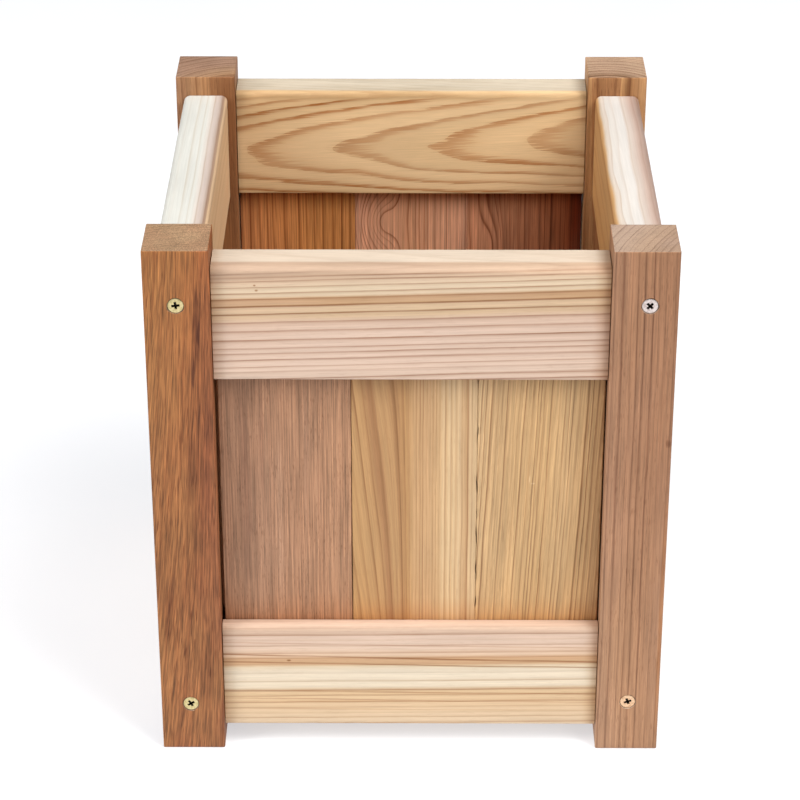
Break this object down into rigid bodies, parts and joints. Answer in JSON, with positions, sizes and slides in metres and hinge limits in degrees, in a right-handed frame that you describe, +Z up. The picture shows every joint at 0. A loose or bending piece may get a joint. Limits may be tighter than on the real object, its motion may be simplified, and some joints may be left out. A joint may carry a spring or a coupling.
{
  "type": "raised planter",
  "caption": "Square raised planter box in bare cedar: corner posts run down as short legs, upper and lower rails hold upright slats, with a slatted drained floor inside.",
  "frame": {"origin": "on the ground, under the middle of the planter, between the four feet", "axes": "+Z up along the posts, +X to the right seen from the front, -Y towards the front, where the screw heads of the front posts show"},
  "size_m": [0.3048, 0.3048, 0.3381],
  "materials": {
    "wood_post": "planed bare cedar, reddish brown heartwood, matt",
    "wood_rail": "planed bare cedar, pale straw to tan, matt",
    "wood_slat": "planed bare cedar, golden to pinkish brown, matt",
    "wood_floor": "sawn bare cedar, matt",
    "wood_dowel": "smooth pale hardwood",
    "screw_zinc": "yellow zinc plated steel, satin",
    "nail_steel": "bright galvanised steel"
  },
  "bodies": {
    "root": {"cleat_screw_front_left": "screw_zinc", "cleat_screw_front_right": "screw_zinc", "cleat_screw_rear_left": "screw_zinc", "cleat_screw_rear_right": "screw_zinc", "dowel_lower_front_left": "wood_dowel", "dowel_lower_front_right": "wood_dowel", "dowel_lower_rear_left": "wood_dowel", "dowel_lower_rear_right": "wood_dowel", "dowel_upper_front_left": "wood_dowel", "dowel_upper_front_right": "wood_dowel", "dowel_upper_rear_left": "wood_dowel", "dowel_upper_rear_right": "wood_dowel", "floor_board_left": "wood_floor", "floor_board_mid_left": "wood_floor", "floor_board_mid_right": "wood_floor", "floor_board_right": "wood_floor", "floor_cleat_front": "wood_floor", "floor_cleat_rear": "wood_floor", "floor_nail_front_left": "nail_steel", "floor_nail_front_mid_left": "nail_steel", "floor_nail_front_mid_right": "nail_steel", "floor_nail_front_right": "nail_steel", "floor_nail_rear_left": "nail_steel", "floor_nail_rear_mid_left": "nail_steel", "floor_nail_rear_mid_right": "nail_steel", "floor_nail_rear_right": "nail_steel", "lower_rail_front": "wood_rail", "lower_rail_left": "wood_rail", "lower_rail_rear": "wood_rail", "lower_rail_right": "wood_rail", "post_front_left": "wood_post", "post_front_right": "wood_post", "post_rear_left": "wood_post", "post_rear_right": "wood_post", "screw_front_left_bottom": "screw_zinc", "screw_front_left_top": "screw_zinc", "screw_front_right_bottom": "screw_zinc", "screw_front_right_top": "screw_zinc", "screw_rear_left_bottom": "screw_zinc", "screw_rear_left_top": "screw_zinc", "screw_rear_right_bottom": "screw_zinc", "screw_rear_right_top": "screw_zinc", "slat_front_left": "wood_slat", "slat_front_middle": "wood_slat", "slat_front_right": "wood_slat", "slat_left_front": "wood_slat", "slat_left_middle": "wood_slat", "slat_left_rear": "wood_slat", "slat_rear_left": "wood_slat", "slat_rear_middle": "wood_slat", "slat_rear_right": "wood_slat", "slat_right_front": "wood_slat", "slat_right_middle": "wood_slat", "slat_right_rear": "wood_slat", "upper_rail_front": "wood_rail", "upper_rail_left": "wood_rail", "upper_rail_rear": "wood_rail", "upper_rail_right": "wood_rail"}
  },
  "joints": []
}
